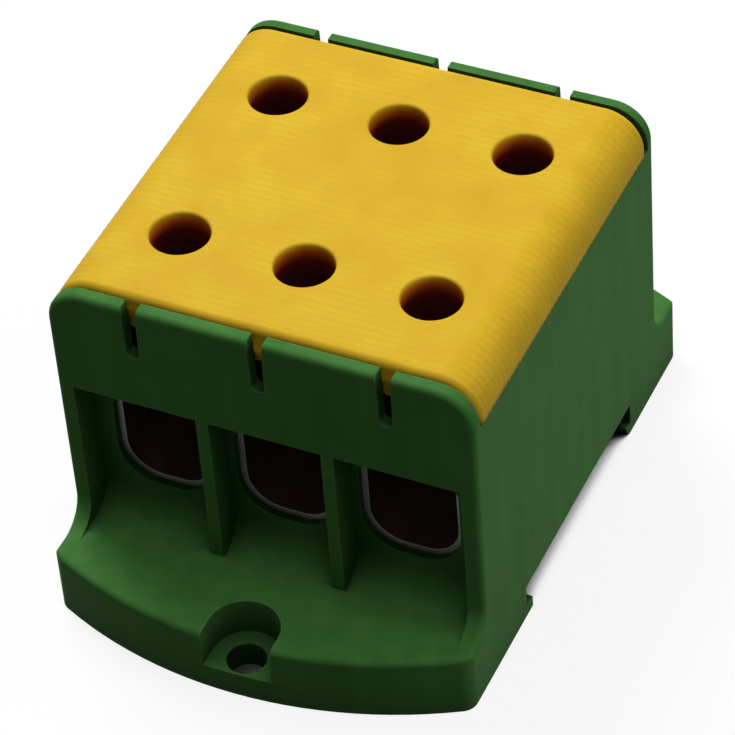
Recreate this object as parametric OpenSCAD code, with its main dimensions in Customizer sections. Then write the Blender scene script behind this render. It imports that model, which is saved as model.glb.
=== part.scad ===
// Three-pole screw terminal block for earth conductors, seen with its wire entries to the front (-Y).
// Z = 0 is the mounting surface, the row of poles runs along X, and each wire channel runs along Y.
// Each pole is an extruded metal terminal with two set screws, held in one moulded housing under a
// clip-on cover. All lengths are in millimetres.

/* [Wire channel] */
// Width of the wire channel in each terminal
channel_w = 12; // [10:0.1:14]
// Height of the wire channel
channel_h = 12.4; // [10:0.1:14]
// Radius of the channel's two lower corners
channel_r = 4.6; // [2:0.1:4.8]
// Radius of the channel's two upper corners
channel_top_r = 1; // [0.5:0.1:2]

/* [Terminal] */
// Wall of the terminal beside the channel
terminal_side = 1.5; // [1.2:0.1:3]
// Wall of the terminal under the channel
terminal_floor = 3.5; // [2.5:0.1:5]
// Wall of the terminal over the channel, which the screws run through
terminal_top = 8.5; // [7:0.1:12]
// Length of the terminal along the wire
terminal_len = 46.9; // [44:0.1:60]
// Radius of the terminal's outer corners
terminal_r = 1.2; // [0.5:0.1:2]

/* [Clamp screws] */
// Thread diameter of the clamp screws
screw_d = 8; // [6:0.5:9]
// Length of a clamp screw
screw_len = 16; // [14:0.5:20]
// Pitch of the thread
thread_pitch = 1.25; // [1:0.05:1.5]
// Depth of the thread
thread_depth = 0.6; // [0.3:0.05:0.8]
// Width across the flats of the hex socket
hex_af = 4; // [3:0.5:4.5]
// Depth of the hex socket
hex_depth = 4.5; // [3:0.5:6]
// Distance of each screw from its end of the terminal
screw_inset = 9.2; // [8:0.1:11]
// How far the screws stand driven down from fully open
screw_down = 4; // [3:0.5:7]

/* [Housing] */
// Wall at each end of the row of poles
side_wall = 2.3; // [1.8:0.1:3]
// Depth of the ribs that centre the end terminals in the housing
side_rib = 1.65; // [1:0.05:3]
// Thickness of the upright ribs, in the housing and on the cover's posts
rib_t = 1.4; // [1:0.1:2]
// Wall between two poles, which is also the rib between two wire entries
partition_t = 1.7; // [1.4:0.1:3]
// Lip that stops the terminal at each wire entry
end_lip = 1; // [0.8:0.1:1.6]
// How much wider the window in the lip is than the channel, each way
window_reveal = 0.8; // [0.3:0.1:0.9]
// Depth of the wire entries in front of the lip
entry_depth = 4.5; // [3:0.1:6]
// Height of the apron's lower edge above the channel's roof
apron_drop = 5.2; // [3:0.1:7]
// Height to which the apron's inner edge is cut back over the wire entry
apron_lead = 2; // [1:0.1:3]
// Height of the shelf behind the apron above the terminals' tops
shelf_rise = 0.7; // [0.3:0.1:2]
// Wall of the apron, and of the rim round the cover
apron_t = 1.8; // [1.4:0.1:2.4]
// Outside radius of the rim's top corners
rim_corner_r = 5; // [3:0.5:7]
// Width of the slots in the rim at their top
slot_w = 2.1; // [1.6:0.1:3.2]
// Width of the slots at their foot, as a share of their width at the top
slot_taper = 0.82; // [0.6:0.01:1]
// Depth of the slots in the rim
slot_h = 8; // [5:0.5:10]
// Rounding along the rims and down the end walls
edge_r = 0.8; // [0.4:0.1:1.2]

/* [Feet] */
// Height of the feet
foot_h = 9.4; // [8:0.1:12]
// Reach of each foot in front of the housing's wall
foot_reach = 13.2; // [13:0.1:18]
// Radius of each foot's curved edge, seen from above
foot_arc_r = 60.4; // [54:0.1:80]
// How far each foot's curve is set off from the middle, to opposite sides at the two ends
foot_skew = 2; // [0:0.1:3]
// Radius of the feet's corners, seen from above
foot_corner_r = 2.2; // [1.5:0.1:3.5]
// Radius of the sweep from the walls into the feet
foot_fillet = 4; // [3:0.1:4.2]
// Rounding along the top edge of the feet
foot_edge_r = 0.8; // [0.5:0.1:1]
// Distance of each fixing hole from the housing's wall
fixing_reach = 10.3; // [10:0.1:11.5]
// Diameter of the fixing holes
fixing_d = 5.2; // [4:0.1:5.5]
// Diameter of the pocket for the fixing screw's head
fixing_head_d = 9.5; // [9:0.1:12]
// Height of the seat for the fixing screw's head
fixing_seat = 3.8; // [2:0.1:5]

/* [Rail seat] */
// Width of the mounting rail
rail_w = 35; // [35:0.1:35.5]
// Depth of the recess for the rail
rail_depth = 5.1; // [4.5:0.1:6]
// Thickness of the hooks under the rail's edges
hook_t = 1.7; // [1.2:0.1:2.4]
// How far the fixed hook laps under the rail
hook_front = 1.5; // [1:0.1:2]
// How far the snap hook laps under the rail
hook_rear = 0.9; // [0.5:0.1:1.5]
// Play between the rail's edges and the recess
rail_play = 0.4; // [0.2:0.1:1]
// Thickness of the rail
rail_t = 1; // [1:0.1:1.5]
// How far the ribs over the rail reach in along its flanges
rail_flange = 4; // [3:0.1:5]
// Width of the ribs that bear on the rail's flanges
rail_rib_t = 2; // [1.2:0.1:3]
// Distance of the rail's middle behind the housing's middle
rail_offset = 1.4; // [0:0.1:2]
// Floor over the rail recess
floor_t = 3.1; // [2.5:0.1:5]
// Height of the pads that carry the terminals
pad_h = 3.7; // [2:0.1:5]
// Thickness of those pads
pad_t = 1.6; // [1:0.1:3]
// Wall left round the hollows under the feet
core_wall = 2.4; // [1.8:0.1:3]
// Thickness of the ribs between those hollows
core_rib_t = 1.5; // [1:0.1:2.5]
// Number of hollows on each side of a fixing hole
foot_pockets = 3; // [1:1:4]

/* [Cover] */
// Thickness of the cover
cover_t = 2.5; // [2:0.1:3]
// Rise of the cover above the rim
cover_rise = 0.4; // [0.2:0.1:1.2]
// How far the cover wraps down over the end walls, from its top
cover_wrap = 6.4; // [6:0.1:10]
// Height of the cover's front and rear skirts, from its top
skirt_h = 5.2; // [4:0.1:7]
// Wall of the front and rear skirts
skirt_t = 1.75; // [1.2:0.05:2.2]
// Length of each snap ridge on the skirts
snap_len = 7; // [4:0.5:10]
// Height of a snap ridge
snap_h = 1.2; // [0.8:0.1:2]
// How far a snap ridge stands out from its skirt
snap_out = 0.85; // [0.6:0.05:1.2]
// Height of the snap ridges above the skirts' lower edge
snap_lift = 0.5; // [0.2:0.1:1.5]
// Diameter of the tool holes over the screws
access_d = 7.75; // [6:0.05:7.9]
// Radius of the posts that hold the terminals down
post_r = 2.2; // [1.5:0.1:3]
// Wall of the guide tubes round the tool holes
tube_t = 1.3; // [1:0.1:2]
// Length of the guide tubes above an open screw
tube_h = 2.7; // [1.5:0.1:5]
// Length of the tubes' wider mouths, which the open screws rise into
tube_mouth_h = 4; // [2:0.1:6]
// Gap between a screw and the tube's wider mouth, on the radius
tube_mouth_fit = 0.35; // [0.2:0.05:0.8]
// Rounding at the mouth of the tool holes
access_edge_r = 0.4; // [0.2:0.1:0.6]
// Rounding along the cover's front and rear edges
cover_edge_r = 1.1; // [0.3:0.1:1.5]

/* [Fits] */
// Gap between a terminal's side and the housing
terminal_fit = 0.15; // [0.1:0.05:0.3]
// Gap between a terminal's end and the lip
end_fit = 0.05; // [0.05:0.05:0.3]
// Gap between the cover and the rim
cover_fit = 0.45; // [0.2:0.05:0.6]
// Gap between a screw's thread and its hole, on the radius
thread_fit = 0.06; // [0.04:0.01:0.1]
// Gap between an open screw and the tube over it
screw_stop = 0.3; // [0.2:0.1:1]
// Gap round the snap ridges in their grooves
snap_room = 0.2; // [0.1:0.05:0.3]
// Gap between the cover's underside and the partitions
cover_gap = 0.3; // [0.2:0.1:0.6]
// Gap between the cover's posts and the terminals
post_gap = 0.1; // [0.1:0.05:0.4]
// Gap between the rail's top and the ribs that bear on it
rail_gap = 0.2; // [0.1:0.05:0.4]

/* [Hidden] */
$fn = 64;
eps = 0.01;
past = 5;
POLES = [-1, 0, 1];
SIDES = [-1, 1];

GREEN = [0.10, 0.36, 0.12];
YELLOW = [0.87, 0.70, 0.12];
METAL = [0.76, 0.77, 0.78];
STEEL = [0.62, 0.63, 0.62];

// Plan of one pole and of the row
terminal_w = channel_w + 2 * terminal_side;
bay_w = terminal_w + 2 * terminal_fit;
pole_pitch = bay_w + partition_t;
inner_half_w = pole_pitch + bay_w / 2 + side_rib;
half_w = inner_half_w + side_wall;
screw_row = terminal_len - 2 * screw_inset;
chamber_half_l = terminal_len / 2 + end_fit;
entry_y = chamber_half_l + end_lip;
wall_y = entry_y + entry_depth;
rim_in_y = wall_y - apron_t;
nose_y = wall_y + foot_reach;
fixing_y = wall_y + fixing_reach;

// Heights, from the mounting surface up
chamber_z = rail_depth + floor_t;
terminal_z = chamber_z + pad_h;
channel_z = terminal_z + terminal_floor;
roof_z = channel_z + channel_h;
terminal_top_z = roof_z + terminal_top;
apron_z = roof_z + apron_drop;
screw_open_z = roof_z + screw_len;
tube_z = screw_open_z + screw_stop;
cover_under_z = tube_z + tube_h;
cover_top_z = cover_under_z + cover_t;
rim_z = cover_top_z - cover_rise;
wall_top_z = cover_top_z - cover_wrap;
skirt_z = cover_top_z - skirt_h;

// Shelf over the wire entries, where the rim's free wall starts, and the partitions' top
entry_roof_z = apron_z + apron_lead;
shelf_z = terminal_top_z + shelf_rise;
partition_top_z = cover_under_z - cover_gap;

// Window in the lip
window_half_w = channel_w / 2 + window_reveal;
window_z = channel_z - window_reveal;
window_top_z = roof_z + window_reveal;
window_r = channel_r + window_reveal;

// Where the end walls sweep into the feet
sweep_z = foot_h + foot_fillet;
sweep_y = wall_y + foot_fillet;

// Plan of the rear foot: a wide arc, then a small corner that meets each side
arc_centre_y = nose_y - foot_arc_r;
corner_x = half_w - foot_corner_r;
function corner_y(side) =
    arc_centre_y + sqrt(pow(foot_arc_r - foot_corner_r, 2) - pow(corner_x - side * foot_skew, 2));
function corner_a(side) = atan2(corner_y(side) - arc_centre_y, corner_x - side * foot_skew);

// Rail recess, from the fixed hook at the front to the snap hook at the rear
rail_front_y = rail_offset - rail_w / 2;
rail_rear_y = rail_offset + rail_w / 2;

// Screw and its hole
screw_r = screw_d / 2 - thread_fit;
screw_core_r = screw_r - thread_depth;
screw_z = roof_z - screw_down;
hex_r = hex_af / 2 / cos(30);

// Snap ridges on the cover's skirts and the grooves that take them
snap_z = skirt_z + snap_lift;

// Extrudes a (Y, Z) profile along X, centred
module along_x(length) {
    rotate([90, 0, 90]) linear_extrude(height = length, center = true) children();
}

// Extrudes an (X, Z) profile along Y, centred
module along_y(length) {
    rotate([90, 0, 0]) linear_extrude(height = length, center = true) children();
}

// Repeats its children at the front and at the rear
module both_ends() {
    children();
    mirror([0, 1, 0]) children();
}

// Repeats its children on the left and on the right
module both_sides() {
    children();
    mirror([1, 0, 0]) children();
}

// Box between two corners
module span(low, high) {
    translate(low) cube(high - low);
}

// Flat shape from z = 0 to top_z with its two upper corners rounded
module arch_profile(half, top_z, r) {
    translate([-half, 0]) square([2 * half, top_z - r]);
    translate([r - half, 0]) square([2 * (half - r), top_z]);
    for (side = SIDES) translate([side * (half - r), top_z - r]) circle(r);
}

// Upright slot profile with its own radii below and above
module channel_profile(half, low_z, high_z, low_r, high_r) {
    translate([-half, low_z + low_r]) square([2 * half, high_z - low_z - low_r - high_r]);
    translate([low_r - half, low_z]) square([2 * (half - low_r), low_r + eps]);
    translate([high_r - half, high_z - high_r - eps]) square([2 * (half - high_r), high_r + eps]);
    for (side = SIDES) {
        translate([side * (half - low_r), low_z + low_r]) circle(low_r);
        translate([side * (half - high_r), high_z - high_r]) circle(high_r);
    }
}

// What a rounded edge takes off, with the sharp edge at the origin
module round_off(r) {
    translate([-r, -r]) difference() {
        square(r + 1);
        circle(r);
    }
}

// Rounds the edge where a face at face_y meets an arched outline, on all four sides
module arch_edge_cut(half, top_z, arch_r, low_z, face_y, r) {
    both_sides() both_ends() {
        translate([half - arch_r, 0, top_z - arch_r])
            rotate([90, 0, 0])
            rotate_extrude(angle = 90)
            translate([arch_r, face_y]) round_off(r);
        translate([(half - arch_r) / 2, 0, 0])
            along_x(half - arch_r)
            translate([-face_y, top_z]) mirror([1, 0]) round_off(r);
        translate([0, 0, low_z])
            linear_extrude(height = top_z - arch_r - low_z)
            translate([half, -face_y]) mirror([0, 1]) round_off(r);
    }
}

// Outline of the housing and feet seen from above
module plan_outline(inset) {
    r = foot_arc_r - inset;
    difference() {
        intersection() {
            translate([foot_skew, arc_centre_y]) circle(r, $fn = 128);
            translate([-foot_skew, -arc_centre_y]) circle(r, $fn = 128);
            square([2 * (half_w - inset), 2 * nose_y], center = true);
        }
        if (inset == 0) for (turn = [0, 180], side = SIDES) rotate(turn) corner_trim(side);
    }
}

// Scrap outside one rounded corner of the rear foot
module corner_trim(side) {
    far = 2.5 * foot_corner_r;
    a = corner_a(side);
    scale([side, 1]) translate([corner_x, corner_y(side)]) difference() {
        polygon([[0, 0], [far, 0], [far, far], [far * cos(a), far * sin(a)]]);
        circle(foot_corner_r);
    }
}

// Outline of the housing seen from the side, for the half towards +Y
module side_outline_half() {
    difference() {
        polygon([
            [-eps, 0], [nose_y, 0], [nose_y, foot_h], [sweep_y, foot_h],
            [sweep_y, sweep_z], [wall_y, sweep_z], [wall_y, rim_z], [-eps, rim_z]
        ]);
        translate([sweep_y, sweep_z]) circle(foot_fillet);
    }
}

// Housing: outer form, then everything that is hollow in it
module housing() {
    color(GREEN) union() {
        difference() {
            housing_solid();
            cover_seat();
            chambers();
            wire_entries();
            windows();
            rim_slots();
            fixing_pockets();
            rail_recess();
            foot_hollows();
            snap_grooves();
        }
        terminal_pads();
        centring_ribs();
        rail_ribs();
    }
}

module housing_solid() {
    difference() {
        intersection() {
            along_y(2 * nose_y) arch_profile(half_w, rim_z, rim_corner_r);
            along_x(2 * half_w) union() {
                side_outline_half();
                mirror([1, 0]) side_outline_half();
            }
            linear_extrude(height = rim_z) plan_outline(0);
        }
        arch_edge_cut(half_w, rim_z, rim_corner_r, sweep_z, wall_y, edge_r);
        sweep_edge_cut();
        foot_edge_cut();
    }
}

// Carries the rounding of the end walls' edges down their sweep and out along the feet
module sweep_edge_cut() {
    both_sides() both_ends() {
        translate([half_w, sweep_y, sweep_z]) rotate([0, 90, 0]) rotate([0, 0, -90])
            rotate_extrude(angle = 90)
            translate([foot_fillet, 0]) mirror([1, 0]) round_off(edge_r);
        translate([half_w, nose_y, foot_h]) rotate([90, 0, 0])
            linear_extrude(height = nose_y - sweep_y) round_off(edge_r);
    }
}

// Rounds the top edge of both feet along their arcs
module foot_edge_cut() {
    for (turn = [0, 180]) rotate(turn) translate([foot_skew, arc_centre_y, foot_h])
        rotate_extrude($fn = 128)
        translate([foot_arc_r, 0]) difference() {
            translate([-foot_edge_r, -foot_edge_r]) square([foot_edge_r + 1, foot_edge_r]);
            translate([-foot_edge_r, -foot_edge_r]) circle(foot_edge_r);
        }
}

// Space between the two rims, above the end walls, that the cover fills
module cover_seat() {
    span([-half_w - past, -rim_in_y, wall_top_z], [half_w + past, rim_in_y, rim_z + past]);
}

// One bay for each terminal, with a wider space over them all
module chambers() {
    for (pole = POLES) {
        outer = pole == 0 ? 0 : side_rib;
        low_x = pole * pole_pitch - bay_w / 2 - (pole < 0 ? outer : 0);
        high_x = pole * pole_pitch + bay_w / 2 + (pole > 0 ? outer : 0);
        span([low_x, -chamber_half_l, chamber_z], [high_x, chamber_half_l, rim_z + past]);
    }
    both_ends()
        span([-inner_half_w, chamber_half_l - eps, shelf_z], [inner_half_w, rim_in_y, rim_z + past]);
    span([-inner_half_w, -chamber_half_l, partition_top_z], [inner_half_w, chamber_half_l, rim_z + past]);
}

// Open bays in front of each window, floored by the foot's sweep
module wire_entries() {
    both_ends() along_x(bay_w) entry_profile();
    side_bay_w = inner_half_w - bay_w / 2 - partition_t;
    both_sides() translate([inner_half_w - side_bay_w / 2, 0, 0])
        both_ends() along_x(side_bay_w) entry_profile();
    both_ends() span([-inner_half_w, wall_y, foot_h], [inner_half_w, nose_y, apron_z]);
}

module entry_profile() {
    difference() {
        union() {
            translate([entry_y, foot_h]) square([nose_y, apron_z - foot_h]);
            translate([entry_y, apron_z - eps]) square([rim_in_y - entry_y, entry_roof_z - apron_z]);
        }
        difference() {
            translate([entry_y, foot_h]) square(foot_fillet);
            translate([entry_y + foot_fillet, foot_h + foot_fillet]) circle(foot_fillet);
        }
    }
}

// Windows in the lips, a little larger than the wire channels
module windows() {
    for (pole = POLES) translate([pole * pole_pitch, 0, 0])
        along_y(2 * entry_y + 1)
        channel_profile(window_half_w, window_z, window_top_z, window_r, channel_top_r + window_reveal);
}

// Sight slots in the rims, over the middle of each pole
module rim_slots() {
    low_r = slot_w * slot_taper / 2;
    low_z = rim_z - slot_h + low_r;
    for (pole = POLES) translate([pole * pole_pitch, 0, 0]) along_y(2 * wall_y + past) {
        polygon([[-low_r, low_z], [low_r, low_z], [slot_w / 2, rim_z + eps], [-slot_w / 2, rim_z + eps]]);
        translate([0, low_z]) circle(low_r);
    }
}

// Screw holes in the feet, each with a pocket that opens to the front of its foot
module fixing_pockets() {
    both_ends() translate([0, fixing_y, 0]) {
        translate([0, 0, -eps]) cylinder(d = fixing_d, h = foot_h + past);
        translate([0, 0, fixing_seat]) cylinder(d = fixing_head_d, h = foot_h);
        translate([-fixing_head_d / 2, 0, fixing_seat]) cube([fixing_head_d, foot_reach, foot_h]);
    }
}

// Recess across the underside for the rail, with a hook at each edge
module rail_recess() {
    along_x(2 * half_w + past) {
        translate([rail_front_y - rail_play, hook_t])
            square([rail_w + 2 * rail_play, rail_depth - hook_t]);
        polygon([
            [rail_front_y + hook_front, -past], [rail_front_y + hook_front, hook_t + eps],
            [rail_rear_y - hook_rear, hook_t + eps], [rail_rear_y - hook_rear, hook_t * 0.6],
            [rail_rear_y - hook_rear + hook_t * 0.6, 0], [rail_rear_y - hook_rear + hook_t * 0.6, -past]
        ]);
    }
}

// Ribs under the floor that bear on the rail's two flanges, above the hooks
module rail_ribs() {
    low_z = hook_t + rail_t + rail_gap;
    for (x = [-inner_half_w + rail_rib_t, -pole_pitch / 2, pole_pitch / 2, inner_half_w - rail_rib_t]) {
        span([x - rail_rib_t / 2, rail_front_y - rail_play - eps, low_z],
            [x + rail_rib_t / 2, rail_front_y + rail_flange, rail_depth + eps]);
        span([x - rail_rib_t / 2, rail_rear_y - rail_flange, low_z],
            [x + rail_rib_t / 2, rail_rear_y + rail_play + eps, rail_depth + eps]);
    }
}

// Hollows under the feet, on both sides of the fixing hole
module foot_hollows() {
    inner_y = max(rail_rear_y, -rail_front_y) + rail_play + core_wall;
    boss_half = fixing_head_d / 2 + core_wall;
    pocket_step = (half_w - core_wall - boss_half) / foot_pockets;
    translate([0, 0, -eps]) linear_extrude(height = foot_h - core_wall) difference() {
        plan_outline(core_wall);
        square([2 * half_w, 2 * inner_y], center = true);
        square([2 * boss_half, 4 * nose_y], center = true);
        for (side = SIDES, rib = [1:foot_pockets - 1])
            translate([side * (boss_half + rib * pocket_step), 0])
            square([core_rib_t, 4 * nose_y], center = true);
    }
}

// Grooves inside the rims that the cover's snap ridges click into
module snap_grooves() {
    for (side = SIDES) translate([side * pole_pitch / 2, 0, 0]) both_ends()
        along_x(snap_len + 2 * snap_room)
        polygon([
            [rim_in_y - eps, snap_z - snap_room],
            [rim_in_y - cover_fit + snap_out + snap_room, snap_z + snap_h * 0.4],
            [rim_in_y - cover_fit + snap_out + snap_room, snap_z + snap_h * 0.6],
            [rim_in_y - eps, snap_z + snap_h + snap_room]
        ]);
}

// Cross pads that the terminals stand on
module terminal_pads() {
    for (y = [-screw_row / 2, 0, screw_row / 2])
        span([-inner_half_w, y - pad_t / 2, chamber_z - eps], [inner_half_w, y + pad_t / 2, terminal_z]);
}

// Upright ribs on the end walls that centre the outer terminals
module centring_ribs() {
    rib_x = pole_pitch + bay_w / 2;
    for (y = [-screw_row / 2, screw_row / 2])
        both_sides()
        span([rib_x, y - rib_t / 2, chamber_z - eps], [inner_half_w + eps, y + rib_t / 2, shelf_z]);
}

// Cover: an arched lid with skirts, guide tubes and hold-down posts
module cover() {
    color(YELLOW) difference() {
        union() {
            cover_shell();
            cover_tubes();
            cover_posts();
            cover_snaps();
        }
        cover_holes();
    }
}

module cover_shell() {
    cover_half_l = rim_in_y - cover_fit;
    arch_r = rim_corner_r + cover_rise;
    difference() {
        along_y(2 * cover_half_l) arch_profile(half_w, cover_top_z, arch_r);
        span([-half_w - past, -rim_in_y, -past], [half_w + past, rim_in_y, wall_top_z]);
        along_y(2 * (cover_half_l - skirt_t))
            arch_profile(inner_half_w, cover_under_z, arch_r - cover_t);
        span([-inner_half_w, -rim_in_y, 0], [inner_half_w, rim_in_y, skirt_z]);
        arch_edge_cut(half_w, cover_top_z, arch_r, wall_top_z - 1, cover_half_l, cover_edge_r);
    }
}

module each_screw() {
    for (pole = POLES, row = SIDES) translate([pole * pole_pitch, row * screw_row / 2, 0]) children();
}

module cover_tubes() {
    each_screw() translate([0, 0, tube_z - tube_mouth_h])
        cylinder(r = screw_d / 2 + tube_mouth_fit + tube_t, h = tube_mouth_h + tube_h + eps);
}

module cover_posts() {
    reach = cover_under_z - terminal_top_z - post_gap;
    for (pole = POLES) translate([pole * pole_pitch, 0, cover_under_z - reach]) {
        cylinder(r = post_r, h = reach + eps);
        translate([-rib_t / 2, -2 * post_r, reach / 2]) cube([rib_t, 4 * post_r, reach / 2 + eps]);
        translate([-2 * post_r, -rib_t / 2, reach / 2]) cube([4 * post_r, rib_t, reach / 2 + eps]);
    }
}

module cover_snaps() {
    face_y = rim_in_y - cover_fit;
    for (side = SIDES) translate([side * pole_pitch / 2, 0, 0]) both_ends()
        along_x(snap_len)
        polygon([
            [face_y - 1, snap_z], [face_y, snap_z], [face_y + snap_out, snap_z + snap_h * 0.4],
            [face_y + snap_out, snap_z + snap_h * 0.6], [face_y, snap_z + snap_h], [face_y - 1, snap_z + snap_h]
        ]);
}

module cover_holes() {
    r = access_d / 2;
    each_screw() {
        translate([0, 0, tube_z - 1]) cylinder(r = r, h = cover_top_z - tube_z + 2);
        translate([0, 0, tube_z - tube_mouth_h - 1])
            cylinder(r = screw_d / 2 + tube_mouth_fit, h = tube_mouth_h + 1);
        translate([0, 0, cover_top_z]) rotate_extrude()
            translate([r, 0]) mirror([1, 0]) round_off(access_edge_r);
    }
}

// Terminal: an extruded section with its wire channel and two screw holes
module terminal(pole) {
    color(METAL) translate([pole * pole_pitch, 0, 0]) difference() {
        along_y(terminal_len)
            channel_profile(terminal_w / 2, terminal_z, terminal_top_z, 2 * terminal_r, terminal_r);
        along_y(terminal_len + 2)
            channel_profile(channel_w / 2, channel_z, roof_z, channel_r, channel_top_r);
        for (row = SIDES) translate([0, row * screw_row / 2, 0]) {
            translate([0, 0, roof_z - 1]) cylinder(d = screw_d, h = terminal_top + 2);
            translate([0, 0, terminal_top_z - 0.6])
                cylinder(r1 = screw_d / 2, r2 = screw_d / 2 + 0.7, h = 0.7);
        }
    }
}

// Clamp screw: a headless set screw with a hex socket above and a pressing face below
module clamp_screw(pole, row) {
    color(STEEL) translate([pole * pole_pitch, row * screw_row / 2, screw_z]) difference() {
        rotate_extrude() screw_section();
        translate([0, 0, screw_len - hex_depth]) cylinder(r = hex_r, h = hex_depth + 1, $fn = 6);
        translate([0, 0, screw_len - 0.5]) cylinder(r1 = hex_r - 0.1, r2 = hex_r + 0.6, h = 0.7);
    }
}

// Half section of the screw, with one tooth for each turn of thread
module screw_section() {
    tip = 1;
    turns = floor((screw_len - 2 * tip) / thread_pitch);
    start = (screw_len - turns * thread_pitch) / 2;
    crest = thread_pitch / 8;
    polygon(concat(
        [[0, 0], [screw_core_r - 0.4, 0], [screw_core_r, tip * 0.6]],
        [for (turn = [0:turns - 1]) each [
            [screw_core_r, start + turn * thread_pitch],
            [screw_r, start + turn * thread_pitch + thread_pitch / 2 - crest],
            [screw_r, start + turn * thread_pitch + thread_pitch / 2 + crest]
        ]],
        [[screw_core_r, screw_len - start], [screw_core_r, screw_len - tip * 0.3],
         [screw_core_r - 0.3, screw_len], [0, screw_len]]
    ));
}

housing();
cover();
terminal(-1);  // terminal_left
terminal(0);  // terminal_middle
terminal(1);  // terminal_right
clamp_screw(-1, -1);  // clamp_screw_front_left
clamp_screw(0, -1);  // clamp_screw_front_middle
clamp_screw(1, -1);  // clamp_screw_front_right
clamp_screw(-1, 1);  // clamp_screw_rear_left
clamp_screw(0, 1);  // clamp_screw_rear_middle
clamp_screw(1, 1);  // clamp_screw_rear_right
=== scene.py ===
"""Looks and setting for a three-pole earth terminal block.

A green moulded housing carries three aluminium terminal bars, each with two
hexagon socket clamp screws, under a yellow cover with six key holes.  The
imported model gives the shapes.  This file presses fine ridges into a copy of
the cover, gives each piece its finish, and sets the floor, the lights and the
camera around the block.  Lengths are in metres.
"""

from __future__ import annotations

import logging
import math
from dataclasses import dataclass, field
from enum import Enum
from typing import Any, Optional, Sequence, Union

import bmesh
import bpy
from mathutils import Matrix, Vector

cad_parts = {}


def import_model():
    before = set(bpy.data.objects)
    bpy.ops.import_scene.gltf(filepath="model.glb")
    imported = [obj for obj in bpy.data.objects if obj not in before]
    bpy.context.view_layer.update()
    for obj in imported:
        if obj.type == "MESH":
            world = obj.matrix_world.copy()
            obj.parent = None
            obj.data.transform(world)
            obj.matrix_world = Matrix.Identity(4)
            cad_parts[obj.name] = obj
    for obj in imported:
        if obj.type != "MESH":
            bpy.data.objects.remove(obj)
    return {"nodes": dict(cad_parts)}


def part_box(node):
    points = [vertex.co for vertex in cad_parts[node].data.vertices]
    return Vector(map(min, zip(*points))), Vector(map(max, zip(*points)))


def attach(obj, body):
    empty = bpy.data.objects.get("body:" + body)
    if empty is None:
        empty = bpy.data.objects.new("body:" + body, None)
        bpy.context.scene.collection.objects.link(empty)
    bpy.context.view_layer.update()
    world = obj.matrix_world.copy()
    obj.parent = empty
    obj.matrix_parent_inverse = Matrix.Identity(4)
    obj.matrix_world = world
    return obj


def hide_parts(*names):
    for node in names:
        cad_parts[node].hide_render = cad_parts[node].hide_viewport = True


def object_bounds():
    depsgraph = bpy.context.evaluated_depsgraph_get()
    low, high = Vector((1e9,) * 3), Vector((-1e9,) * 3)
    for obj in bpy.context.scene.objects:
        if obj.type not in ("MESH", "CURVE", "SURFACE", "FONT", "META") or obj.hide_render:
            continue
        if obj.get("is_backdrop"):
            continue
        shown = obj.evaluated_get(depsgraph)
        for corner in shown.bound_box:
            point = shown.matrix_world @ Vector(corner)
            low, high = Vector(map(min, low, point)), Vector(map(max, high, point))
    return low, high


LOG = logging.getLogger("terminal_block")

MM = 0.001

Number = Union[int, float]
Value = Union["Wire", Number, Sequence[float]]
Triple = tuple[float, float, float]
Colour = Triple
# The edge at which a mask is a half, and the width of its change.
Band = tuple[float, float]

WHITE: Colour = (1.0, 1.0, 1.0)


def from_srgb(red: int, green: int, blue: int) -> Colour:
    """Turns a screen colour into a linear one.

    Args:
        red: The red channel, 0 to 255.
        green: The green channel, 0 to 255.
        blue: The blue channel, 0 to 255.

    Returns:
        The three linear channels, 0 to 1.
    """

    def channel(level: int) -> float:
        """One channel, by the usual screen curve."""
        share = level / 255.0
        return share / 12.92 if share <= 0.04045 else ((share + 0.055) / 1.055) ** 2.4

    return channel(red), channel(green), channel(blue)


class Axis(Enum):
    """The three directions of the model's own frame."""

    X = 0
    Y = 1
    Z = 2


# ---------------------------------------------------------------- shader kit


class Wire:
    """One output socket that can be used in arithmetic."""

    def __init__(self, bench: ShaderBench,
                 socket: Optional[bpy.types.NodeSocket]) -> None:
        """Keeps the socket and the bench that adds nodes for it."""
        self.bench = bench
        self.socket = socket

    def __add__(self, other: Value) -> Wire:
        """Sum."""
        return self.bench.math("ADD", self, other)

    def __radd__(self, other: Value) -> Wire:
        """Sum, from the right."""
        return self.bench.math("ADD", other, self)

    def __sub__(self, other: Value) -> Wire:
        """Difference."""
        return self.bench.math("SUBTRACT", self, other)

    def __rsub__(self, other: Value) -> Wire:
        """Difference, from the right."""
        return self.bench.math("SUBTRACT", other, self)

    def __mul__(self, other: Value) -> Wire:
        """Product."""
        return self.bench.math("MULTIPLY", self, other)

    def __rmul__(self, other: Value) -> Wire:
        """Product, from the right."""
        return self.bench.math("MULTIPLY", other, self)

    def __abs__(self) -> Wire:
        """Size without sign."""
        return self.bench.math("ABSOLUTE", self)

    def above(self, edge: Number, softness: Number) -> Wire:
        """Goes from 0 to 1 as this value passes an edge.

        Args:
            edge: The value at which the result is a half.
            softness: The width of the change.

        Returns:
            The mask, held between 0 and 1.
        """
        return self.bench.node(
            "ShaderNodeMapRange",
            {"interpolation_type": "SMOOTHSTEP"},
            {"Value": self,
             "From Min": edge - softness / 2,
             "From Max": edge + softness / 2},
        )

    def below(self, edge: Number, softness: Number) -> Wire:
        """Goes from 1 to 0 as this value passes an edge."""
        return 1.0 - self.above(edge, softness)

    def held(self) -> Wire:
        """The value, held between 0 and 1."""
        return self.bench.node("ShaderNodeClamp", {}, {"Value": self})

    def wave(self, pitch: Number) -> Wire:
        """A sine from 0 to 1 that repeats every pitch."""
        return self.bench.math("SINE", self * (2 * math.pi / pitch)) * 0.5 + 0.5


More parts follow.
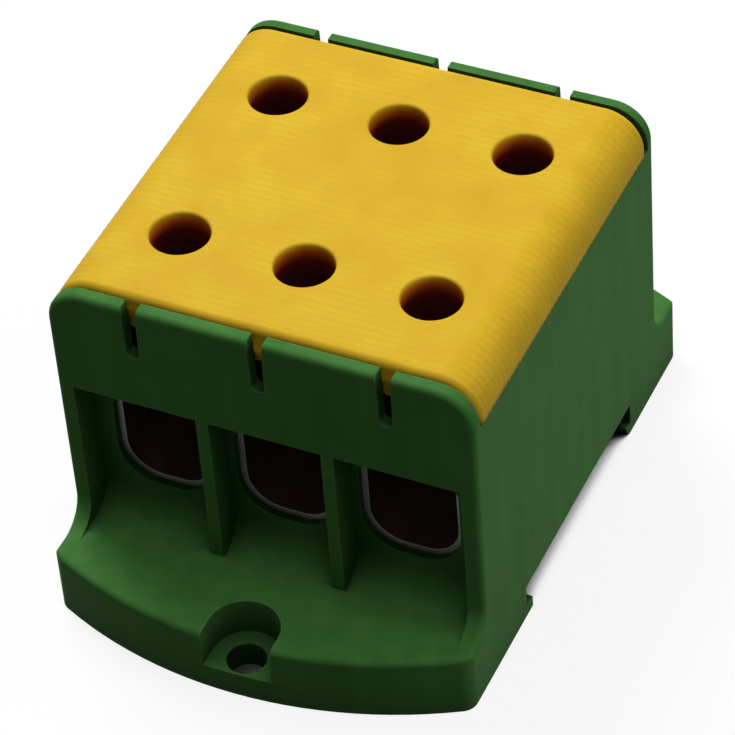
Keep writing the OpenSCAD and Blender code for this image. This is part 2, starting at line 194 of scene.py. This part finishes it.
class ShaderBench:
    """Adds nodes to one material or world."""

    bevel_samples: int = 6
    open_samples: int = 16
    worn_band: Band = (0.07, 0.12)

    def __init__(self, tree: bpy.types.NodeTree) -> None:
        """Clears the tree and starts on it."""
        self.tree = tree
        tree.nodes.clear()

    def node(
        self,
        kind: str,
        settings: Optional[dict[str, Any]] = None,
        inputs: Optional[dict[Union[str, int], Value]] = None,
        output: Union[str, int] = 0,
    ) -> Wire:
        """Adds one node.

        Args:
            kind: Blender's type name of the node.
            settings: What is set on the node first, such as its operation.
            inputs: Values or wires for its sockets, by name or number.
            output: The socket to give back, by name or number.

        Returns:
            The chosen output socket, or an unjoined wire where it has none.
        """
        made = self.tree.nodes.new(kind)
        for name, value in (settings or {}).items():
            setattr(made, name, value)
        for name, value in (inputs or {}).items():
            self._feed(made.inputs[name], value)
        return Wire(self, made.outputs[output] if made.outputs else None)

    def _feed(self, socket: bpy.types.NodeSocket, value: Value) -> None:
        """Links a wire to a socket or sets its value.

        Args:
            socket: The socket of the node just made.
            value: A wire, a number, or a vector or colour as a sequence.
        """
        if isinstance(value, Wire):
            self.tree.links.new(value.socket, socket)
        elif socket.type == "RGBA" and len(value) == 3:
            socket.default_value = (*value, 1.0)
        else:
            socket.default_value = value

    def math(self, operation: str, *values: Value) -> Wire:
        """Adds a Math node on up to three values."""
        return self.node("ShaderNodeMath", {"operation": operation},
                         dict(enumerate(values)))

    def vector_math(self, operation: str, *values: Value,
                    output: str = "Vector") -> Wire:
        """Adds a Vector Math node and gives back its vector or its value."""
        return self.node("ShaderNodeVectorMath", {"operation": operation},
                         dict(enumerate(values)), output=output)

    def mix(self, factor: Value, base: Value, over: Value) -> Wire:
        """Lays one colour over another.

        Args:
            factor: How much of the second colour, 0 to 1.
            base: The colour below.
            over: The colour laid over it.

        Returns:
            The mixed colour.
        """
        # A Mix node's colours are its sockets 6 and 7, and its output 2.
        return self.node("ShaderNodeMix", {"data_type": "RGBA"},
                         {0: factor, 6: base, 7: over}, output=2)

    def place(self) -> Wire:
        """The point of the surface in the model's frame."""
        return self.node("ShaderNodeTexCoord", output="Object")

    def facing(self) -> Wire:
        """The direction in which the true surface looks."""
        return self.node("ShaderNodeNewGeometry", output="Normal")

    def part(self, vector: Wire, axis: Axis) -> Wire:
        """One number of a vector."""
        return self.node("ShaderNodeSeparateXYZ", {}, {0: vector},
                         output=axis.value)

    def noise(self, where: Wire, size: float, detail: float = 2.0) -> Wire:
        """Cloudy noise, from 0 to 1.

        Args:
            where: The point to look it up at.
            size: The width of one cloud.
            detail: How many finer layers it has.

        Returns:
            The noise's value.
        """
        return self.node(
            "ShaderNodeTexNoise",
            {"noise_dimensions": "3D"},
            {"Vector": where, "Scale": 1.0 / size, "Detail": detail},
        )

    def drawn_noise(self, where: Wire, factors: Triple, size: float,
                    detail: float = 2.0) -> Wire:
        """Noise drawn out into lines.

        Args:
            where: The point to look it up at.
            factors: How much of each number of the point counts.
            size: The width of one line.
            detail: How many finer layers it has.

        Returns:
            The noise's value.
        """
        along = self.vector_math("MULTIPLY", where, factors)
        return self.noise(along, size, detail)

    def bump(self, height: Wire, depth: float, under: Wire) -> Wire:
        """Turns a height from 0 to 1 into a tilted normal.

        Args:
            height: The height over the surface.
            depth: The length that a height of 1 stands for.
            under: The normal that this one is laid over.

        Returns:
            The normal.
        """
        return self.node("ShaderNodeBump", {}, {"Height": height, "Distance": depth,
                                                "Strength": 1.0, "Normal": under})

    def softened(self, radius: float) -> Wire:
        """The facing of the surface with its sharp edges rounded off."""
        return self.node("ShaderNodeBevel", {"samples": self.bevel_samples},
                         {"Radius": radius})

    def openness(self, reach: float) -> Wire:
        """How much of the space within reach is free, 1 on an open face."""
        return self.node("ShaderNodeAmbientOcclusion",
                         {"samples": self.open_samples}, {"Distance": reach},
                         output="AO")

    def worn_edges(self, rounded: Wire) -> Wire:
        """A mask that is 1 on an edge and 0 on open faces.

        Args:
            rounded: The softened facing, as wide as the mask should be.

        Returns:
            The mask.
        """
        match = self.vector_math("DOT_PRODUCT", rounded, self.facing(),
                                 output="Value")
        return (1.0 - match).above(*self.worn_band)

    def seen_directly(self) -> Wire:
        """Tells the rays that see a surface directly from those that light it.

        Returns:
            A mask that is 1 for camera, mirror and glass rays.
        """
        camera, mirror, glass = (
            self.node("ShaderNodeLightPath", output=name)
            for name in ("Is Camera Ray", "Is Glossy Ray", "Is Transmission Ray"))
        return (camera + mirror + glass).held()

    def surface(self, **sockets: Value) -> None:
        """Ends the tree in a surface shader with these sockets set."""
        named = {name.replace("_", " ").title().replace("Ior", "IOR"): value
                 for name, value in sockets.items()}
        self.end(self.node("ShaderNodeBsdfPrincipled", {}, named))

    def end(self, shader: Wire, output: str = "ShaderNodeOutputMaterial") -> None:
        """Joins a shader to a new output of this type."""
        self.node(output, {}, {"Surface": shader})


# ------------------------------------------------------------------ finishes


@dataclass(frozen=True, kw_only=True)
class Finish:
    """A surface that adds its own nodes to a material."""

    name: str

    def material(self) -> bpy.types.Material:
        """Makes the finish.

        Returns:
            A node material with this finish's name.
        """
        material = bpy.data.materials.new(self.name)
        material.use_nodes = True
        self.wire_up(ShaderBench(material.node_tree))
        return material

    def wire_up(self, bench: ShaderBench) -> None:
        """Adds the nodes of this finish."""
        raise NotImplementedError


@dataclass(frozen=True, kw_only=True)
class MouldedGreen(Finish):
    """Satin green housing plastic with a fine eroded grain."""

    name: str = "green_moulding"
    colour: Colour = from_srgb(73, 124, 61)
    deep: Colour = from_srgb(61, 110, 51)
    rubbed: Colour = from_srgb(126, 166, 100)
    painted_recess_shade: Colour = from_srgb(36, 64, 34)
    cloud: float = 9 * MM
    cloud_share: float = 0.45
    streak: float = 3.2 * MM
    streak_draw: Triple = (1.0, 1.0, 0.06)
    tone: Band = (0.5, 0.45)
    edge: float = 0.3 * MM
    rub_patch: float = 1.4 * MM
    rub_band: Band = (0.45, 0.3)
    rub_strength: float = 0.55
    shade_reach: float = 16 * MM
    shade_band: Band = (0.5, 0.6)
    sink_depth: float = 0.02 * MM
    grain: float = 0.22 * MM
    grain_depth: float = 0.012 * MM
    roughness: float = 0.5
    grain_roughness: float = 0.08
    cloud_roughness: float = 0.06
    rub_polish: float = 0.06
    gloss: float = 0.02

    def wire_up(self, bench: ShaderBench) -> None:
        """Adds clouds, upright streaks, rubbed edges, painted shade in the recesses and
        grain.

        Args:
            bench: Where the nodes go.
        """
        where = bench.place()
        clouds = bench.noise(where, self.cloud, detail=3)
        streaks = bench.drawn_noise(where, self.streak_draw, self.streak)
        tone = clouds * self.cloud_share + streaks * (1 - self.cloud_share)
        colour = bench.mix(tone.above(*self.tone), self.deep, self.colour)
        rounded = bench.softened(self.edge)
        patches = bench.noise(where, self.rub_patch).above(*self.rub_band)
        rub = bench.worn_edges(rounded) * patches
        colour = bench.mix(rub * self.rub_strength, colour, self.rubbed)
        # Painted shade: where the space around is closed in, the colour is laid towards a
        # dark green.
        recess_shade_mask = bench.openness(self.shade_reach).below(*self.shade_band)
        colour = bench.mix(recess_shade_mask, colour, self.painted_recess_shade)
        grain = bench.noise(where, self.grain, detail=1)
        sinks = bench.noise(where, self.cloud)
        normal = bench.bump(sinks, self.sink_depth, under=rounded)
        normal = bench.bump(grain, self.grain_depth, under=normal)
        rough = (self.roughness + grain * self.grain_roughness
                 + clouds * self.cloud_roughness - rub * self.rub_polish)
        bench.surface(base_color=colour, roughness=rough, normal=normal,
                      specular_ior_level=self.gloss)


@dataclass(frozen=True, kw_only=True)
class RidgedYellow(Finish):
    """Yellow cover plastic, with painted shade between the ridges and down the key tubes.
    """

    name: str = "yellow_moulding"
    half_width: float
    half_length: float
    top: float
    ridge_pitch: float
    colour: Colour = from_srgb(220, 182, 44)
    deep: Colour = from_srgb(208, 166, 34)
    upper_tube_shade: Colour = from_srgb(216, 116, 12)
    deep_tube_shade: Colour = from_srgb(124, 20, 11)
    rubbed: Colour = from_srgb(232, 198, 84)
    cloud: float = 8 * MM
    tone: Band = (0.5, 0.5)
    end_band: Band = (0.25, 0.2)
    top_band: Band = (0.12, 0.12)
    valley_shade_strength: float = 0.4
    edge: float = 0.25 * MM
    rub_patch: float = 1.3 * MM
    rub_band: Band = (0.45, 0.3)
    rub_strength: float = 0.3
    shell: float = 2.2 * MM
    wall_band: Band = (0.6, 0.5)
    upper_tube_shade_depth: Band = (0.7 * MM, 1.0 * MM)
    deep_tube_shade_depth: Band = (1.9 * MM, 2.4 * MM)
    grain: float = 0.2 * MM
    grain_depth: float = 0.008 * MM
    roughness: float = 0.5
    grain_roughness: float = 0.08
    cloud_roughness: float = 0.05
    gloss: float = 0.07

    def wire_up(self, bench: ShaderBench) -> None:
        """Adds painted shade in the valleys and down the key tubes, clouds, rubbed edges
        and grain.

        Args:
            bench: Where the nodes go.
        """
        where = bench.place()
        across, along, height = (bench.part(where, axis) for axis in Axis)
        facing = bench.facing()
        upward = bench.part(facing, Axis.Z)
        ahead = abs(bench.part(facing, Axis.Y))
        outside = ahead.below(*self.end_band) * upward.above(*self.top_band)
        # Painted shade: the valleys between the ridges on the outer skin are laid towards
        # the deeper yellow.
        valley_shade = (1.0 - along.wave(self.ridge_pitch)) * outside
        clouds = bench.noise(where, self.cloud, detail=3)
        colour = bench.mix(clouds.above(*self.tone), self.deep, self.colour)
        colour = bench.mix(valley_shade * self.valley_shade_strength, colour, self.deep)
        rounded = bench.softened(self.edge)
        patches = bench.noise(where, self.rub_patch).above(*self.rub_band)
        rub = bench.worn_edges(rounded) * patches
        colour = bench.mix(rub * self.rub_strength, colour, self.rubbed)
        within = (abs(across).below(self.half_width - self.shell, self.shell / 2)
                  * abs(along).below(self.half_length - self.shell, self.shell / 2)
                  * upward.below(*self.wall_band))
        # Painted shade down the key tubes: the inner walls turn orange, then dark red,
        # with depth below the top.
        depth = self.top - height
        for band, tint in ((self.upper_tube_shade_depth, self.upper_tube_shade),
                           (self.deep_tube_shade_depth, self.deep_tube_shade)):
            colour = bench.mix(depth.above(*band) * within, colour, tint)
        grain = bench.noise(where, self.grain, detail=1)
        rough = (self.roughness + grain * self.grain_roughness
                 + clouds * self.cloud_roughness)
        bench.surface(base_color=colour, roughness=rough,
                      normal=bench.bump(grain, self.grain_depth, under=rounded),
                      specular_ior_level=self.gloss)


@dataclass(frozen=True, kw_only=True)
class DrawnAluminium(Finish):
    """Extruded terminal bars, with draw lines along them and sawn ends.

    The sizes are the middle bar's. The wall is its thinnest one, beside the
    wire channel, and the pitch is the distance from one bar to the next.
    """

    name: str = "drawn_aluminium"
    half_width: float
    bottom: float
    top: float
    pitch: float
    wall: float
    colour: Colour = (0.50, 0.50, 0.48)
    dull: Colour = (0.34, 0.33, 0.31)
    cut: Colour = (0.07, 0.08, 0.065)
    channel_shade: Colour = (0.085, 0.045, 0.035)
    end_band: Band = (0.6, 0.3)
    line: float = 0.18 * MM
    line_draw: Triple = (1.0, 0.02, 1.0)
    saw_coarseness: float = 1.6
    saw_draw: Triple = (0.05, 1.0, 1.0)
    cloud: float = 5 * MM
    tone: Band = (0.5, 0.4)
    mark_band: Band = (0.45, 0.2)
    mark_strength: float = 0.25
    cut_share: float = 0.75
    edge: float = 0.15 * MM
    mark_depth: float = 0.01 * MM
    roughness: float = 0.38
    mark_roughness: float = 0.12
    cloud_roughness: float = 0.14

    def wire_up(self, bench: ShaderBench) -> None:
        """Adds draw lines, sawn ends, dulling and painted shade in the wire channel.

        Args:
            bench: Where the nodes go.
        """
        where = bench.place()
        across, height = bench.part(where, Axis.X), bench.part(where, Axis.Z)
        from_bar = abs(bench.math("WRAP", across, self.pitch / 2, -self.pitch / 2))
        ahead = abs(bench.part(bench.facing(), Axis.Y)).above(*self.end_band)
        wall = self.wall
        # The wire channel's walls, where the painted shade goes on.
        channel = (from_bar.below(self.half_width - wall / 2, wall / 4)
                   * height.above(self.bottom + wall, wall / 2)
                   * height.below(self.top - wall, wall / 2)
                   * (1.0 - ahead))
        drawn = bench.drawn_noise(where, self.line_draw, self.line, detail=3)
        sawn = bench.drawn_noise(where, self.saw_draw,
                                 self.line * self.saw_coarseness)
        marks = drawn * (1.0 - ahead) + sawn * ahead
        clouds = bench.noise(where, self.cloud, detail=4)
        colour = bench.mix(clouds.above(*self.tone), self.dull, self.colour)
        lines = marks.below(*self.mark_band) * self.mark_strength
        colour = bench.mix(lines, colour, self.dull)
        # The faces that look front and back are laid towards a near-black grey, with the
        # saw lines in it.
        ends = ahead * (self.cut_share + sawn * (1 - self.cut_share))
        colour = bench.mix(ends, colour, self.cut)
        # Painted shade inside the wire channel: its walls are laid towards a dark
        # red-brown.
        colour = bench.mix(channel, colour, self.channel_shade)
        rough = (self.roughness + marks * self.mark_roughness
                 + clouds * self.cloud_roughness)
        rounded = bench.softened(self.edge)
        bench.surface(base_color=colour, roughness=rough, metallic=1.0,
                      normal=bench.bump(marks, self.mark_depth, under=rounded))


@dataclass(frozen=True, kw_only=True)
class ZincedSteel(Finish):
    """Bright zinc on a clamp screw, with faint turning rings."""

    name: str = "zinced_steel"
    colour: Colour = (0.56, 0.56, 0.58)
    warm: Colour = (0.50, 0.46, 0.36)
    dull: Colour = (0.30, 0.30, 0.31)
    cloud: float = 2.2 * MM
    tone: Band = (0.5, 0.4)
    warm_strength: float = 0.5
    edge: float = 0.12 * MM
    wear_strength: float = 0.4
    ring: float = 0.25 * MM
    ring_depth: float = 0.004 * MM
    roughness: float = 0.3
    cloud_roughness: float = 0.2
    ring_roughness: float = 0.05

    def wire_up(self, bench: ShaderBench) -> None:
        """Adds a passivation tint, turning rings and darker wear.

        Args:
            bench: Where the nodes go.
        """
        where = bench.place()
        rings = bench.part(where, Axis.Z).wave(self.ring)
        clouds = bench.noise(where, self.cloud, detail=3)
        warmth = clouds.above(*self.tone) * self.warm_strength
        colour = bench.mix(warmth, self.colour, self.warm)
        rounded = bench.softened(self.edge)
        wear = bench.worn_edges(rounded) * self.wear_strength
        colour = bench.mix(wear, colour, self.dull)
        rough = (self.roughness + clouds * self.cloud_roughness
                 + rings * self.ring_roughness)
        bench.surface(base_color=colour, roughness=rough, metallic=1.0,
                      normal=bench.bump(rings, self.ring_depth, under=rounded))


@dataclass(frozen=True, kw_only=True)
class PaleFloor(Finish):
    """White ground that still takes the block's shadow.

    It is plain white where it is seen directly, past the shadow's reach, and
    painted dark, as contact shade, where the block closes it in.
    """

    name: str = "pale_floor"
    colour: Colour = (0.08, 0.08, 0.08)
    painted_contact_shade: Colour = (0.04, 0.05, 0.04)
    backing: float = 0.85
    contact_shade_reach: float = 20 * MM
    contact_shade_band: Band = (0.39, 0.2)
    shadow_band: Band = (220 * MM, 220 * MM)

    def wire_up(self, bench: ShaderBench) -> None:
        """Mixes a matt floor with plain white for what sees it directly.

        Args:
            bench: Where the nodes go.
        """
        seen = bench.seen_directly()
        # Painted contact shade: where the block closes the floor in, the seen colour turns
        # near black and the plain white share is cut.
        clear = bench.openness(self.contact_shade_reach).above(*self.contact_shade_band)
        shown = bench.mix(clear, self.painted_contact_shade, WHITE)
        matt = bench.node("ShaderNodeBsdfDiffuse", {},
                          {"Color": bench.mix(seen, self.colour, shown)})
        plain = bench.node("ShaderNodeEmission", {},
                           {"Color": WHITE, "Strength": 1.0})
        apart = bench.vector_math("LENGTH", bench.place(), output="Value")
        past = apart.above(*self.shadow_band)
        share = seen * clear * (self.backing + past * (1 - self.backing))
        bench.end(bench.node("ShaderNodeMixShader", {},
                             {0: share, 1: matt, 2: plain}))


# -------------------------------------------------------------- sub-assemblies


def add_to_scene(thing: bpy.types.Object) -> None:
    """Links an object to the scene."""
    bpy.context.scene.collection.objects.link(thing)


def dress(piece: bpy.types.Object, material: bpy.types.Material) -> None:
    """Puts a finish in every material slot of a piece.

    Args:
        piece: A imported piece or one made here.
        material: The finish.
    """
    if not piece.material_slots:
        piece.data.materials.append(material)
    for slot in piece.material_slots:
        slot.material = material


def piece_box(piece: bpy.types.Object) -> tuple[Vector, Vector]:
    """Measures a piece's mesh.

    Args:
        piece: The piece.

    Returns:
        Its lowest and its highest corner.
    """
    points = [piece.matrix_world @ vertex.co for vertex in piece.data.vertices]
    low = Vector(min(point[axis.value] for point in points) for axis in Axis)
    high = Vector(max(point[axis.value] for point in points) for axis in Axis)
    return low, high


@dataclass
class SubAssembly:
    """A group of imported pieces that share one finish."""

    nodes: dict[str, bpy.types.Object]
    prefix: str = ""
    pieces: list[bpy.types.Object] = field(default_factory=list, init=False)

    def members(self) -> list[str]:
        """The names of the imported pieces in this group."""
        return sorted(name for name in self.nodes if name.startswith(self.prefix))

    def finish(self) -> Finish:
        """The group's finish."""
        raise NotImplementedError

    def build(self) -> None:
        """Dresses every piece and keeps it for the report."""
        material = self.finish().material()
        for name in self.members():
            dress(self.nodes[name], material)
            self.pieces.append(self.nodes[name])

    def report(self) -> None:
        """Logs each piece with its size in millimetres."""
        for piece in self.pieces:
            low, high = piece_box(piece)
            size = [round((b - a) / MM, 1) for a, b in zip(low, high)]
            LOG.info("%s: %s, %s mm", type(self).__name__, piece.name, size)


@dataclass
class Housing(SubAssembly):
    """The green moulded body with its two mounting feet."""

    prefix: str = "housing"

    def finish(self) -> Finish:
        """The green plastic."""
        return MouldedGreen()


@dataclass
class Cover(SubAssembly):
    """The yellow arched cover with six key tubes and fine ridges.

    The ridges run along X over the top and both arches, and are deeper on the
    arches. They fade out towards the ends and the key holes.
    """

    prefix: str = "cover"
    arch_radius: float = 5.4 * MM
    end_rounding: float = 1.1 * MM
    hole_radius: float = 4.3 * MM
    ridge_pitch: float = 1.15 * MM
    ridge_depth: float = 0.085 * MM
    flat_share: float = 0.4
    flat_upward: float = 0.99
    arch_gain: float = 2.0
    cuts_per_ridge: int = 4
    fade: float = 0.6 * MM
    skin_slack: float = 0.02 * MM
    plane_slack: float = 0.0001 * MM
    weld: float = 0.0005 * MM
    sliver: float = 0.005 * MM
    crease: float = 32.0

    def finish(self) -> Finish:
        """The yellow plastic, with this cover's box."""
        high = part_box("cover")[1]
        return RidgedYellow(half_width=high.x, half_length=high.y, top=high.z,
                            ridge_pitch=self.ridge_pitch)

    def build(self) -> None:
        """Puts the ridged cover in place of the plain one, and dresses it."""
        mesh = self.nodes["cover"].data.copy()
        self.shape(mesh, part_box("cover")[1])
        piece = bpy.data.objects.new("ridged_cover", mesh)
        add_to_scene(piece)
        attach(piece, "block")
        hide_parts("cover")
        dress(piece, self.finish().material())
        self.pieces.append(piece)

    def shape(self, mesh: bpy.types.Mesh, high: Vector) -> None:
        """Works the ridges into a mesh of the plain cover.

        Args:
            mesh: The mesh, which is changed.
            high: The cover's highest corner.
        """
        work = bmesh.new()
        work.from_mesh(mesh)
        bmesh.ops.remove_doubles(work, verts=work.verts, dist=self.weld)
        self.cut_across(work, high)
        bmesh.ops.remove_doubles(work, verts=work.verts, dist=self.sliver)
        bmesh.ops.dissolve_degenerate(work, edges=work.edges, dist=self.sliver)
        self.press_ridges(work, high)
        bmesh.ops.triangulate(work, faces=work.faces)
        work.to_mesh(mesh)
        work.free()
        mesh.shade_smooth()
        mesh.set_sharp_from_angle(angle=math.radians(self.crease))

    def outward(self, point: Vector, high: Vector) -> Optional[Vector]:
        """The outward direction at a point of the arched outer skin.

        Args:
            point: A point of the cover.
            high: The cover's highest corner.

        Returns:
            A unit vector, or nothing where the point isn't on the skin.
        """
        over_x = max(abs(point.x) - (high.x - self.arch_radius), 0.0)
        over_z = max(point.z - (high.z - self.arch_radius), 0.0)
        from_arch = Vector((math.copysign(over_x, point.x), 0.0, over_z))
        if abs(from_arch.length - self.arch_radius) > self.skin_slack:
            return None
        return from_arch.normalized()

    def cut_across(self, work: bmesh.types.BMesh, high: Vector) -> None:
        """Cuts the outer skin across at every step of the ridges.

        Args:
            work: The cover's mesh, which is changed.
            high: The cover's highest corner.
        """
        waiting = [face for face in work.faces
                   if all(self.outward(corner.co, high) for corner in face.verts)]
        step = self.ridge_pitch / self.cuts_per_ridge
        last = int((high.y - self.end_rounding) / step)
        for number in range(-last, last + 1):
            place = number * step
            crossing, later = [], []
            for face in waiting:
                reach = [corner.co.y for corner in face.verts]
                if min(reach) < place < max(reach):
                    crossing.append(face)
                elif max(reach) > place:
                    later.append(face)
            edges = dict.fromkeys(edge for face in crossing for edge in face.edges)
            corners = dict.fromkeys(
                corner for face in crossing for corner in face.verts)
            cut = bmesh.ops.bisect_plane(
                work, geom=[*crossing, *edges, *corners], dist=self.plane_slack,
                plane_co=(0.0, place, 0.0), plane_no=(0.0, 1.0, 0.0))
            waiting = later + [piece for piece in cut["geom"]
                               if isinstance(piece, bmesh.types.BMFace)]

    def press_ridges(self, work: bmesh.types.BMesh, high: Vector) -> None:
        """Sinks the valleys between the ridges, clear of the ends and holes.

        Args:
            work: The cover's mesh, which is changed.
            high: The cover's highest corner.
        """
        screws = [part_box(name) for name in self.nodes
                  if name.startswith("clamp_screw")]
        centres = [(one + other) / 2 for one, other in screws]
        for corner in work.verts:
            outward = self.outward(corner.co, high)
            if outward is None:
                continue
            room = high.y - self.end_rounding - abs(corner.co.y)
            if outward.z > self.flat_upward:
                nearest = min((corner.co - centre).to_2d().length
                              for centre in centres)
                room = min(room, nearest - self.hole_radius)
            share = min(max(room / self.fade, 0.0), 1.0)
            turn = 2 * math.pi * corner.co.y / self.ridge_pitch
            valley = 0.5 - 0.5 * math.sin(turn)
            bend = min(self.arch_gain * abs(outward.x), 1.0)
            arched = self.flat_share + (1 - self.flat_share) * bend
            corner.co -= outward * self.ridge_depth * arched * valley * share


@dataclass
class TerminalBars(SubAssembly):
    """The three aluminium terminal bars."""

    prefix: str = "terminal_"
    wall: float = 1.5 * MM

    def finish(self) -> Finish:
        """Works out the aluminium from the bars' boxes.

        Returns:
            The aluminium, with the middle bar's sizes and the pitch.
        """
        low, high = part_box("terminal_middle")
        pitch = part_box("terminal_right")[1].x - high.x
        return DrawnAluminium(half_width=high.x, bottom=low.z, top=high.z,
                              pitch=pitch, wall=self.wall)


@dataclass
class ClampScrews(SubAssembly):
    """The six hexagon socket clamp screws."""

    prefix: str = "clamp_screw_"

    def finish(self) -> Finish:
        """The zinc plated steel."""
        return ZincedSteel()


# --------------------------------------------------------------------- setting


@dataclass(frozen=True)
class SoftLight:
    """A square soft light that looks at the block's middle.

    Its power is in watts, and its place is counted from the block's middle.
    """

    name: str
    power: float
    side: float
    place: Triple

    def build(self, middle: Vector) -> None:
        """Adds the light.

        Args:
            middle: The block's middle.
        """
        data = bpy.data.lights.new(self.name, "AREA")
        data.energy = self.power
        data.shape = "SQUARE"
        data.size = self.side
        light = bpy.data.objects.new(self.name, data)
        light.location = middle + Vector(self.place)
        light.rotation_mode = "QUATERNION"
        light.rotation_quaternion = (-Vector(self.place)).to_track_quat("-Z", "Y")
        add_to_scene(light)


@dataclass
class Studio:
    """Floor, surroundings and lights."""

    low: Vector
    high: Vector
    floor_reach: float = 12.0
    floor_turns: Triple = (10.0, 250.0, 130.0)
    fill: float = 0.115
    lights: tuple[SoftLight, ...] = (
        SoftLight("key_light", 7.9, 0.5, (-0.45, 0.40, 0.80)),
        SoftLight("top_light", 2.5, 0.25, (0.12, -0.12, 0.94)),
        SoftLight("side_light", 1.75, 0.4, (0.71, 0.20, 0.34)),
    )

    def build(self) -> None:
        """Makes the floor, the surroundings and the lights."""
        self.add_floor()
        self.add_surroundings()
        for light in self.lights:
            light.build((self.low + self.high) / 2)

    def add_floor(self) -> None:
        """Lays a plain pale floor, one wide triangle, under the block."""
        under = Vector((0.0, 0.0, self.low.z))
        turns = [math.radians(turn) for turn in self.floor_turns]
        corners = [Vector((math.sin(turn), math.cos(turn), 0.0)) * self.floor_reach
                   + under for turn in turns]
        mesh = bpy.data.meshes.new("floor")
        mesh.from_pydata(corners, [], [(0, 1, 2)])
        mesh.materials.append(PaleFloor().material())
        floor = bpy.data.objects.new("floor", mesh)
        add_to_scene(floor)
        floor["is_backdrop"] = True

    def add_surroundings(self) -> None:
        """Gives a dim even fill, with plain white where it is seen directly."""
        world = bpy.data.worlds.new("studio")
        bpy.context.scene.world = world
        world.use_nodes = True
        bench = ShaderBench(world.node_tree)
        seen = bench.seen_directly()
        fill, plain = (
            bench.node("ShaderNodeBackground", {},
                       {"Color": WHITE, "Strength": strength})
            for strength in (self.fill, 1.0))
        both = bench.node("ShaderNodeMixShader", {}, {0: seen, 1: fill, 2: plain})
        bench.end(both, "ShaderNodeOutputWorld")


@dataclass
class ViewPoint:
    """The camera, placed from the middle of the cover's top.

    Angles are in degrees, the sensor and the lens in millimetres.
    """

    aim: Vector
    azimuth: float = 27.617
    elevation: float = 43.17
    roll: float = -4.846
    distance: float = 0.497522
    across: float = -0.001853
    upward: float = 0.021692
    sensor: float = 36.0
    lens: float = 195.918
    clip_start: float = 0.01
    clip_end: float = 20.0

    def directions(self) -> tuple[Vector, Vector, Vector]:
        """The camera's right, up and forward directions.

        Returns:
            Three unit vectors.
        """
        turn, rise, tilt = (math.radians(angle) for angle in
                            (self.azimuth, self.elevation, self.roll))
        back = Vector((math.sin(turn) * math.cos(rise),
                       -math.cos(turn) * math.cos(rise),
                       math.sin(rise)))
        forward = -back
        level = forward.cross(Vector((0, 0, 1))).normalized()
        upright = level.cross(forward)
        right = math.cos(tilt) * level + math.sin(tilt) * upright
        top = -math.sin(tilt) * level + math.cos(tilt) * upright
        return right, top, forward

    def build(self) -> None:
        """Makes the camera and gives it to the scene."""
        right, top, forward = self.directions()
        place = (self.aim - self.across * right - self.upward * top
                 - self.distance * forward)
        data = bpy.data.cameras.new("camera")
        data.sensor_width = self.sensor
        data.lens = self.lens
        data.clip_start = self.clip_start
        data.clip_end = self.clip_end
        camera = bpy.data.objects.new("camera", data)
        axes = Matrix((right, top, -forward)).transposed().to_4x4()
        camera.matrix_world = Matrix.Translation(place) @ axes
        add_to_scene(camera)
        bpy.context.scene.camera = camera


def plain_bounds() -> list[list[float]]:
    """The whole object's box as plain lists."""
    return [[float(number) for number in corner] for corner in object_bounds()]


def main() -> None:
    """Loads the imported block, dresses it and sets the scene around it."""
    logging.basicConfig(level=logging.INFO, format="%(message)s")
    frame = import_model()
    packed = plain_bounds()
    low, high = (Vector(corner) for corner in packed)

    bpy.context.scene.view_settings.view_transform = "Standard"
    for kind in (Housing, Cover, TerminalBars, ClampScrews):
        group = kind(frame["nodes"])
        group.build()
        group.report()

    Studio(low, high).build()
    middle = (low + high) / 2
    ViewPoint(Vector((middle.x, middle.y, high.z))).build()


if __name__ == "__main__":
    main()
